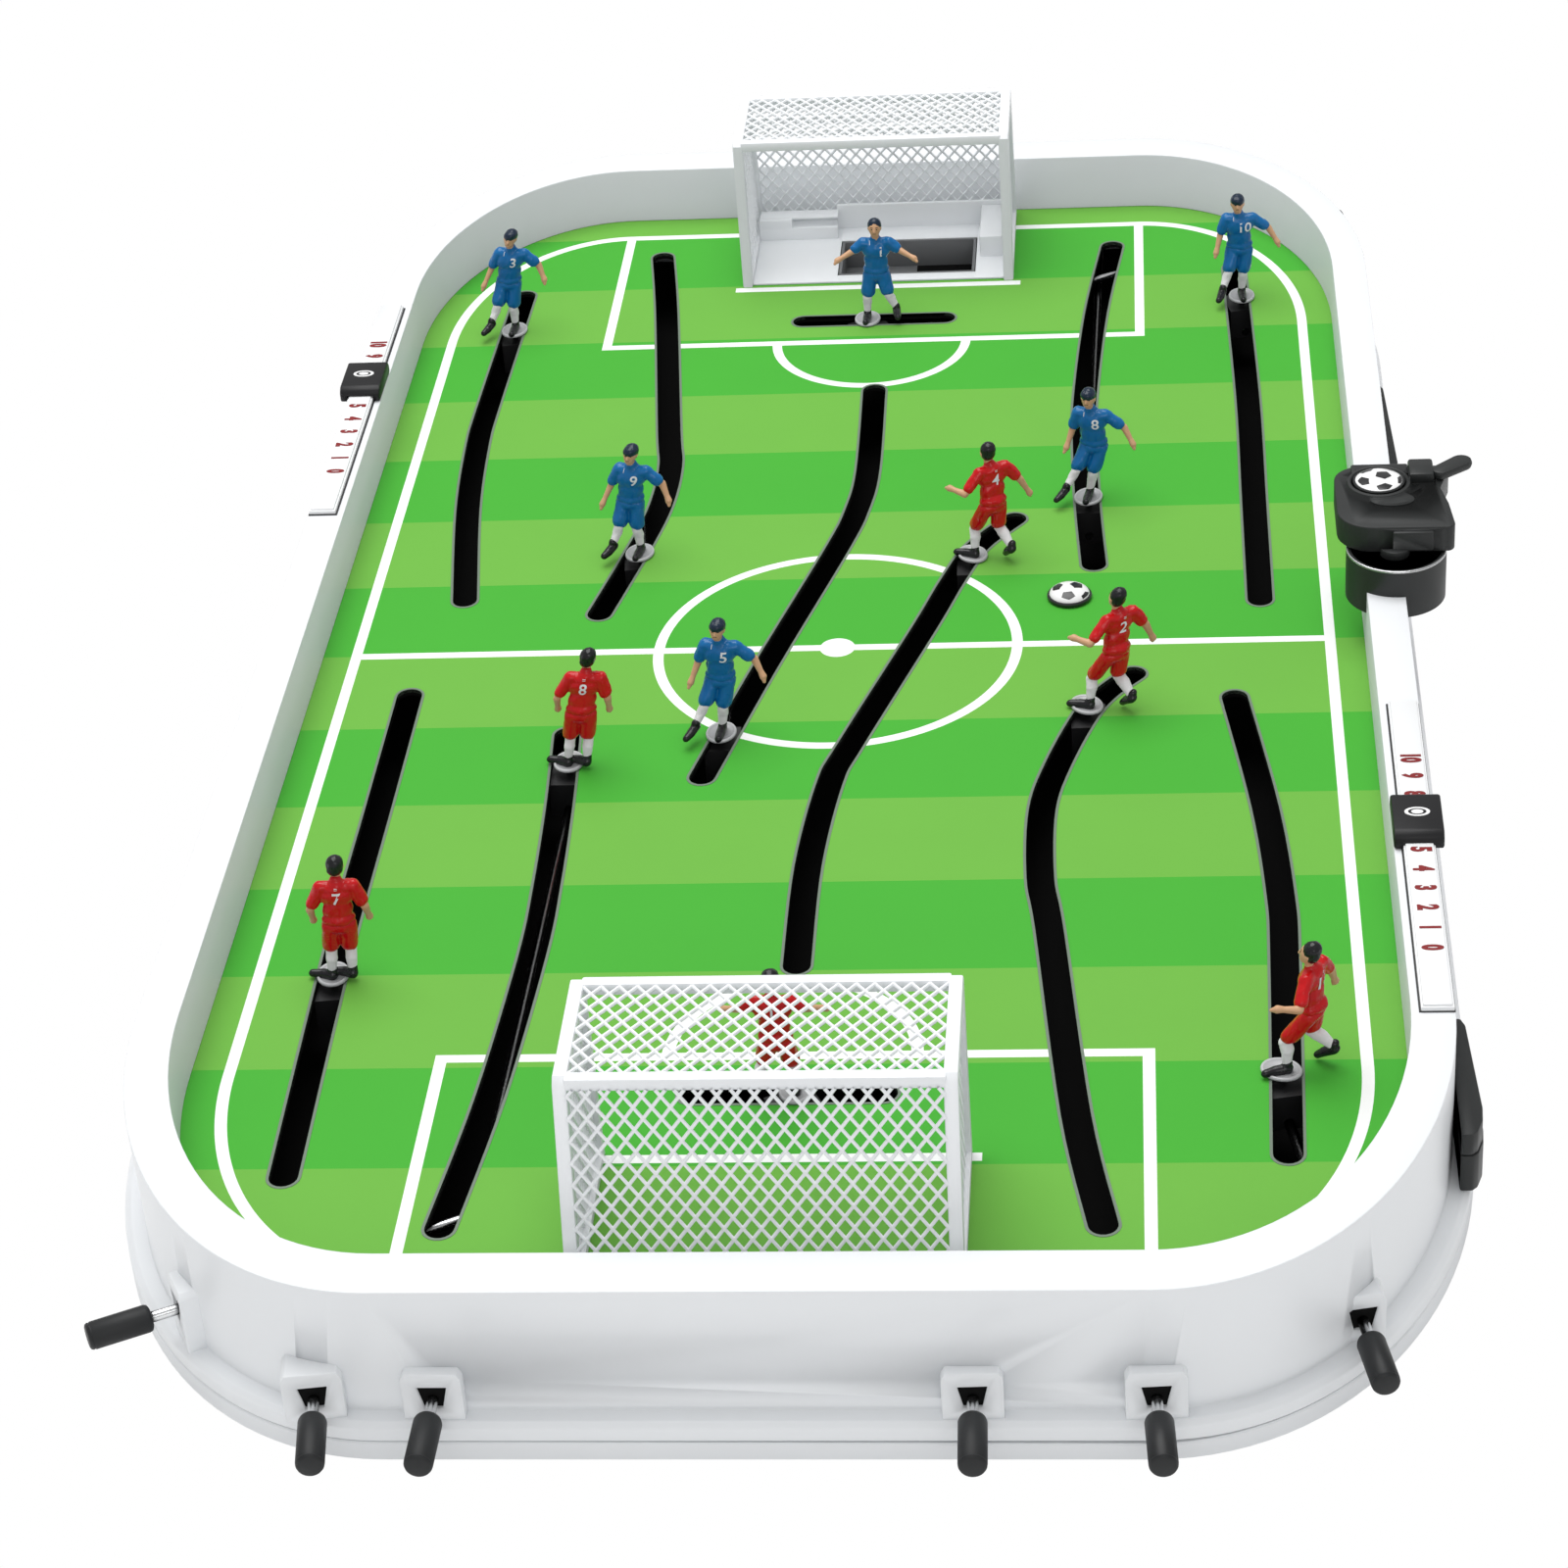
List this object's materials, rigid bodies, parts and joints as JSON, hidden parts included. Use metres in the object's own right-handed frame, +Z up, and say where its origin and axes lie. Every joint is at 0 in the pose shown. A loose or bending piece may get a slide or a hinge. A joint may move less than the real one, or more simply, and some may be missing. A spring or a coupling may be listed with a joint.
{
  "type": "table-top rod football game",
  "caption": "Table-top football game: moulded oval body, green slotted pitch, two net goals, figures on carriages pushed and turned by steel rods with hand grips.",
  "frame": {"origin": "centre of the pitch's plan at the surface the game stands on", "axes": "+X across the pitch to the side with the ball dispenser, +Y along the pitch towards the blue team's goal, +Z up"},
  "size_m": [0.5217, 0.9802, 0.126],
  "materials": {
    "white_plastic": "glossy moulded",
    "grey_plastic": "satin moulded",
    "board": "printed pitch",
    "charcoal": "fine matt",
    "black_plastic": "satin",
    "steel": "polished rod with a charcoal grip",
    "blue_kit": "painted figure",
    "red_kit": "painted figure",
    "ball_white": "printed with dark panels"
  },
  "bodies": {
    "body": {"base_tray": "grey_plastic", "pitch_board": "board", "rim_housing": "white_plastic", "side_clips": "charcoal", "near_goal": "white_plastic", "far_goal": "white_plastic", "score_rails": "white_plastic", "dispenser_cup": "charcoal"},
    "left_score_slider": {"left_score_slider": "black_plastic"},
    "right_score_slider": {"right_score_slider": "black_plastic"},
    "dispenser_lid": {"dispenser_lid": "charcoal"},
    "dispenser_button": {"dispenser_button": "ball_white"},
    "dispenser_lever": {"dispenser_lever": "charcoal"},
    "ball": {"ball": "ball_white"},
    "red_left_wing_guide": {"red_left_wing_guide": "black_plastic"},
    "red_left_wing_carriage": {"red_left_wing_carriage": "black_plastic"},
    "red_left_wing_rod": {"red_left_wing_rod": "steel"},
    "red_left_wing_figure": {"red_left_wing_figure": "red_kit"},
    "red_left_mid_carriage": {"red_left_mid_carriage": "black_plastic"},
    "red_left_mid_rod": {"red_left_mid_rod": "steel"},
    "red_left_mid_figure": {"red_left_mid_figure": "red_kit"},
    "red_centre_guide": {"red_centre_guide": "black_plastic"},
    "red_centre_carriage": {"red_centre_carriage": "black_plastic"},
    "red_centre_rod": {"red_centre_rod": "steel"},
    "red_centre_figure": {"red_centre_figure": "red_kit"},
    "red_right_mid_guide": {"red_right_mid_guide": "black_plastic"},
    "red_right_mid_carriage": {"red_right_mid_carriage": "black_plastic"},
    "red_right_mid_rod": {"red_right_mid_rod": "steel"},
    "red_right_mid_figure": {"red_right_mid_figure": "red_kit"},
    "red_right_wing_guide": {"red_right_wing_guide": "black_plastic"},
    "red_right_wing_carriage": {"red_right_wing_carriage": "black_plastic"},
    "red_right_wing_rod": {"red_right_wing_rod": "steel"},
    "red_right_wing_figure": {"red_right_wing_figure": "red_kit"},
    "red_goalie_guide": {"red_goalie_guide": "black_plastic"},
    "red_goalie_carriage": {"red_goalie_carriage": "black_plastic"},
    "red_goalie_rod": {"red_goalie_rod": "steel"},
    "red_goalie_figure": {"red_goalie_figure": "red_kit"},
    "blue_left_wing_guide": {"blue_left_wing_guide": "black_plastic"},
    "blue_left_wing_carriage": {"blue_left_wing_carriage": "black_plastic"},
    "blue_left_wing_rod": {"blue_left_wing_rod": "steel"},
    "blue_left_wing_figure": {"blue_left_wing_figure": "blue_kit"},
    "blue_left_mid_carriage": {"blue_left_mid_carriage": "black_plastic"},
    "blue_left_mid_rod": {"blue_left_mid_rod": "steel"},
    "blue_left_mid_figure": {"blue_left_mid_figure": "blue_kit"},
    "blue_centre_guide": {"blue_centre_guide": "black_plastic"},
    "blue_centre_carriage": {"blue_centre_carriage": "black_plastic"},
    "blue_centre_rod": {"blue_centre_rod": "steel"},
    "blue_centre_figure": {"blue_centre_figure": "blue_kit"},
    "blue_right_mid_guide": {"blue_right_mid_guide": "black_plastic"},
    "blue_right_mid_carriage": {"blue_right_mid_carriage": "black_plastic"},
    "blue_right_mid_rod": {"blue_right_mid_rod": "steel"},
    "blue_right_mid_figure": {"blue_right_mid_figure": "blue_kit"},
    "blue_right_wing_guide": {"blue_right_wing_guide": "black_plastic"},
    "blue_right_wing_carriage": {"blue_right_wing_carriage": "black_plastic"},
    "blue_right_wing_rod": {"blue_right_wing_rod": "steel"},
    "blue_right_wing_figure": {"blue_right_wing_figure": "blue_kit"},
    "blue_goalie_guide": {"blue_goalie_guide": "black_plastic"},
    "blue_goalie_carriage": {"blue_goalie_carriage": "black_plastic"},
    "blue_goalie_rod": {"blue_goalie_rod": "steel"},
    "blue_goalie_figure": {"blue_goalie_figure": "blue_kit"}
  },
  "joints": [
    {"name": "ball_lift", "type": "slide", "parent": "body", "child": "ball", "axis": [0, 0, 1], "range_m": [0, 0.12]},
    {"name": "left_score_slide", "type": "slide", "parent": "body", "child": "left_score_slider", "axis": [0, 1, 0], "range_m": [-0.105, 0.065]},
    {"name": "right_score_slide", "type": "slide", "parent": "body", "child": "right_score_slider", "axis": [0, 1, 0], "range_m": [-0.1, 0.07]},
    {"name": "lid_hinge", "type": "hinge", "parent": "body", "child": "dispenser_lid", "pos_m": [0.238, 0.05, 0.089], "axis": [-1, 0, 0], "range_deg": [0, 100]},
    {"name": "button_press", "type": "slide", "parent": "dispenser_lid", "child": "dispenser_button", "axis": [0, 0, -1], "range_m": [0, 0.002], "stiffness_N_per_m": 200, "springref_m": -0.0003},
    {"name": "lever_swing", "type": "hinge", "parent": "dispenser_lid", "child": "dispenser_lever", "pos_m": [0.2585, 0.041, 0.103], "axis": [0, 0, 1], "range_deg": [-45, 20]},
    {"name": "red_left_wing_slide", "type": "slide", "parent": "red_left_wing_guide", "child": "red_left_wing_carriage", "axis": [0.1269, -0.9919, 0], "range_m": [-0.004, 0.092]},
    {"name": "red_left_mid_slide", "type": "slide", "parent": "body", "child": "red_left_mid_carriage", "axis": [-0.014, -0.9999, 0], "range_m": [-0.004, 0.24]},
    {"name": "red_centre_slide", "type": "slide", "parent": "red_centre_guide", "child": "red_centre_carriage", "axis": [0.0278, -0.9996, 0], "range_m": [-0.004, 0.17]},
    {"name": "red_right_mid_slide", "type": "slide", "parent": "red_right_mid_guide", "child": "red_right_mid_carriage", "axis": [0.0606, -0.9982, 0], "range_m": [-0.004, 0.132]},
    {"name": "red_right_wing_slide", "type": "slide", "parent": "red_right_wing_guide", "child": "red_right_wing_carriage", "axis": [0.1892, -0.9819, 0], "range_m": [-0.004, 0.046]},
    {"name": "red_goalie_slide", "type": "slide", "parent": "red_goalie_guide", "child": "red_goalie_carriage", "axis": [-0.8927, -0.4507, 0], "range_m": [-0.004, 0.03]},
    {"name": "blue_left_wing_slide", "type": "slide", "parent": "blue_left_wing_guide", "child": "blue_left_wing_carriage", "axis": [-0.2237, 0.9747, 0], "range_m": [-0.004, 0.034]},
    {"name": "blue_left_mid_slide", "type": "slide", "parent": "body", "child": "blue_left_mid_carriage", "axis": [0.0125, 0.9999, 0], "range_m": [-0.004, 0.2]},
    {"name": "blue_centre_slide", "type": "slide", "parent": "blue_centre_guide", "child": "blue_centre_carriage", "axis": [-0.0515, 0.9987, 0], "range_m": [-0.004, 0.168]},
    {"name": "blue_right_mid_slide", "type": "slide", "parent": "blue_right_mid_guide", "child": "blue_right_mid_carriage", "axis": [-0.1041, 0.9946, 0], "range_m": [-0.004, 0.3]},
    {"name": "blue_right_wing_slide", "type": "slide", "parent": "blue_right_wing_guide", "child": "blue_right_wing_carriage", "axis": [-0.2036, 0.9791, 0], "range_m": [-0.004, 0.038]},
    {"name": "blue_goalie_slide", "type": "slide", "parent": "blue_goalie_guide", "child": "blue_goalie_carriage", "axis": [0.8927, 0.4507, 0], "range_m": [-0.004, 0.03]},
    {"name": "red_left_wing_spin", "type": "hinge", "parent": "red_left_wing_carriage", "child": "red_left_wing_rod", "pos_m": [-0.181, -0.236, 0.0315], "axis": [0.1269, -0.9919, 0], "continuous": true},
    {"name": "red_left_mid_spin", "type": "hinge", "parent": "red_left_mid_carriage", "child": "red_left_mid_rod", "pos_m": [-0.1065, -0.089, 0.0315], "axis": [-0.014, -0.9999, 0], "continuous": true},
    {"name": "red_centre_spin", "type": "hinge", "parent": "red_centre_carriage", "child": "red_centre_rod", "pos_m": [0.0565, 0.075, 0.0315], "axis": [0.0278, -0.9996, 0], "continuous": true},
    {"name": "red_right_mid_spin", "type": "hinge", "parent": "red_right_mid_carriage", "child": "red_right_mid_rod", "pos_m": [0.108, -0.052, 0.0315], "axis": [0.0606, -0.9982, 0], "continuous": true},
    {"name": "red_right_wing_spin", "type": "hinge", "parent": "red_right_wing_carriage", "child": "red_right_wing_rod", "pos_m": [0.18, -0.301, 0.0315], "axis": [0.1892, -0.9819, 0], "continuous": true},
    {"name": "red_goalie_spin", "type": "hinge", "parent": "red_goalie_carriage", "child": "red_goalie_rod", "pos_m": [0.003, -0.311, 0.0375], "axis": [-0.8927, -0.4507, 0], "continuous": true},
    {"name": "blue_left_wing_spin", "type": "hinge", "parent": "blue_left_wing_carriage", "child": "blue_left_wing_rod", "pos_m": [0.182, 0.325, 0.0315], "axis": [-0.2237, 0.9747, 0], "continuous": true},
    {"name": "blue_left_mid_spin", "type": "hinge", "parent": "blue_left_mid_carriage", "child": "blue_left_mid_rod", "pos_m": [0.1075, 0.126, 0.0315], "axis": [0.0125, 0.9999, 0], "continuous": true},
    {"name": "blue_centre_spin", "type": "hinge", "parent": "blue_centre_carriage", "child": "blue_centre_rod", "pos_m": [-0.0445, -0.067, 0.0315], "axis": [-0.0515, 0.9987, 0], "continuous": true},
    {"name": "blue_right_mid_spin", "type": "hinge", "parent": "blue_right_mid_carriage", "child": "blue_right_mid_rod", "pos_m": [-0.094, 0.084, 0.0315], "axis": [-0.1041, 0.9946, 0], "continuous": true},
    {"name": "blue_right_wing_spin", "type": "hinge", "parent": "blue_right_wing_carriage", "child": "blue_right_wing_rod", "pos_m": [-0.18, 0.309, 0.0315], "axis": [-0.2036, 0.9791, 0], "continuous": true},
    {"name": "blue_goalie_spin", "type": "hinge", "parent": "blue_goalie_carriage", "child": "blue_goalie_rod", "pos_m": [-0.003, 0.311, 0.0375], "axis": [0.8927, 0.4507, 0], "continuous": true},
    {"name": "red_left_wing_yaw", "type": "hinge", "parent": "body", "child": "red_left_wing_guide", "pos_m": [-0.154, -0.447, 0.0315], "axis": [0, 0, 1], "range_deg": [-0.53, 5.57]},
    {"name": "red_centre_yaw", "type": "hinge", "parent": "body", "child": "red_centre_guide", "pos_m": [0.071, -0.447, 0.0315], "axis": [0, 0, 1], "range_deg": [-0.51, 9.07]},
    {"name": "red_right_mid_yaw", "type": "hinge", "parent": "body", "child": "red_right_mid_guide", "pos_m": [0.132, -0.447, 0.0315], "axis": [0, 0, 1], "range_deg": [-0.48, 6.35]},
    {"name": "red_right_wing_yaw", "type": "hinge", "parent": "body", "child": "red_right_wing_guide", "pos_m": [0.201, -0.41, 0.0315], "axis": [0, 0, 1], "range_deg": [-0.87, 6.89]},
    {"name": "red_goalie_yaw", "type": "hinge", "parent": "body", "child": "red_goalie_guide", "pos_m": [-0.199, -0.413, 0.0375], "axis": [0, 0, 1], "range_deg": [-0.76, 3.74]},
    {"name": "blue_left_wing_yaw", "type": "hinge", "parent": "body", "child": "blue_left_wing_guide", "pos_m": [0.154, 0.447, 0.0315], "axis": [0, 0, 1], "range_deg": [-0.54, 2.35]},
    {"name": "blue_centre_yaw", "type": "hinge", "parent": "body", "child": "blue_centre_guide", "pos_m": [-0.071, 0.447, 0.0315], "axis": [0, 0, 1], "range_deg": [-0.49, 8.48]},
    {"name": "blue_right_mid_yaw", "type": "hinge", "parent": "body", "child": "blue_right_mid_guide", "pos_m": [-0.132, 0.447, 0.0315], "axis": [0, 0, 1], "range_deg": [-0.41, 8.89]},
    {"name": "blue_right_wing_yaw", "type": "hinge", "parent": "body", "child": "blue_right_wing_guide", "pos_m": [-0.201, 0.41, 0.0315], "axis": [0, 0, 1], "range_deg": [-0.88, 5.85]},
    {"name": "blue_goalie_yaw", "type": "hinge", "parent": "body", "child": "blue_goalie_guide", "pos_m": [0.199, 0.413, 0.0375], "axis": [0, 0, 1], "range_deg": [-0.76, 3.74]},
    {"name": "red_left_wing_turn", "type": "hinge", "parent": "red_left_wing_carriage", "child": "red_left_wing_figure", "pos_m": [-0.181, -0.236, 0.047], "axis": [0, 0, 1], "continuous": true},
    {"name": "red_left_mid_turn", "type": "hinge", "parent": "red_left_mid_carriage", "child": "red_left_mid_figure", "pos_m": [-0.1065, -0.089, 0.047], "axis": [0, 0, 1], "continuous": true},
    {"name": "red_centre_turn", "type": "hinge", "parent": "red_centre_carriage", "child": "red_centre_figure", "pos_m": [0.0565, 0.075, 0.047], "axis": [0, 0, 1], "continuous": true},
    {"name": "red_right_mid_turn", "type": "hinge", "parent": "red_right_mid_carriage", "child": "red_right_mid_figure", "pos_m": [0.108, -0.052, 0.047], "axis": [0, 0, 1], "continuous": true},
    {"name": "red_right_wing_turn", "type": "hinge", "parent": "red_right_wing_carriage", "child": "red_right_wing_figure", "pos_m": [0.18, -0.301, 0.047], "axis": [0, 0, 1], "continuous": true},
    {"name": "red_goalie_turn", "type": "hinge", "parent": "red_goalie_carriage", "child": "red_goalie_figure", "pos_m": [0.003, -0.311, 0.047], "axis": [0, 0, 1], "continuous": true},
    {"name": "blue_left_wing_turn", "type": "hinge", "parent": "blue_left_wing_carriage", "child": "blue_left_wing_figure", "pos_m": [0.182, 0.325, 0.047], "axis": [0, 0, 1], "continuous": true},
    {"name": "blue_left_mid_turn", "type": "hinge", "parent": "blue_left_mid_carriage", "child": "blue_left_mid_figure", "pos_m": [0.1075, 0.126, 0.047], "axis": [0, 0, 1], "continuous": true},
    {"name": "blue_centre_turn", "type": "hinge", "parent": "blue_centre_carriage", "child": "blue_centre_figure", "pos_m": [-0.0445, -0.067, 0.047], "axis": [0, 0, 1], "continuous": true},
    {"name": "blue_right_mid_turn", "type": "hinge", "parent": "blue_right_mid_carriage", "child": "blue_right_mid_figure", "pos_m": [-0.094, 0.084, 0.047], "axis": [0, 0, 1], "continuous": true},
    {"name": "blue_right_wing_turn", "type": "hinge", "parent": "blue_right_wing_carriage", "child": "blue_right_wing_figure", "pos_m": [-0.18, 0.309, 0.047], "axis": [0, 0, 1], "continuous": true},
    {"name": "blue_goalie_turn", "type": "hinge", "parent": "blue_goalie_carriage", "child": "blue_goalie_figure", "pos_m": [-0.003, 0.311, 0.047], "axis": [0, 0, 1], "continuous": true}
  ],
  "couplings": [
    {"joint": "red_left_wing_yaw", "follows": "red_left_wing_slide", "rad_per_m": 1},
    {"joint": "red_left_wing_turn", "follows": "red_left_wing_spin", "ratio": -1},
    {"joint": "red_left_mid_turn", "follows": "red_left_mid_spin", "ratio": -1},
    {"joint": "red_centre_yaw", "follows": "red_centre_slide", "rad_per_m": 0.9},
    {"joint": "red_centre_turn", "follows": "red_centre_spin", "ratio": -1},
    {"joint": "red_right_mid_yaw", "follows": "red_right_mid_slide", "rad_per_m": 0.8},
    {"joint": "red_right_mid_turn", "follows": "red_right_mid_spin", "ratio": -1},
    {"joint": "red_right_wing_yaw", "follows": "red_right_wing_slide", "rad_per_m": 2.5},
    {"joint": "red_right_wing_turn", "follows": "red_right_wing_spin", "ratio": -1},
    {"joint": "red_goalie_yaw", "follows": "red_goalie_slide", "rad_per_m": 2},
    {"joint": "red_goalie_turn", "follows": "red_goalie_spin", "ratio": -1},
    {"joint": "blue_left_wing_yaw", "follows": "blue_left_wing_slide", "rad_per_m": 1.05},
    {"joint": "blue_left_wing_turn", "follows": "blue_left_wing_spin", "ratio": -1},
    {"joint": "blue_left_mid_turn", "follows": "blue_left_mid_spin", "ratio": -1},
    {"joint": "blue_centre_yaw", "follows": "blue_centre_slide", "rad_per_m": 0.85},
    {"joint": "blue_centre_turn", "follows": "blue_centre_spin", "ratio": -1},
    {"joint": "blue_right_mid_yaw", "follows": "blue_right_mid_slide", "rad_per_m": 0.5},
    {"joint": "blue_right_mid_turn", "follows": "blue_right_mid_spin", "ratio": -1},
    {"joint": "blue_right_wing_yaw", "follows": "blue_right_wing_slide", "rad_per_m": 2.55},
    {"joint": "blue_right_wing_turn", "follows": "blue_right_wing_spin", "ratio": -1},
    {"joint": "blue_goalie_yaw", "follows": "blue_goalie_slide", "rad_per_m": 2},
    {"joint": "blue_goalie_turn", "follows": "blue_goalie_spin", "ratio": -1}
  ]
}
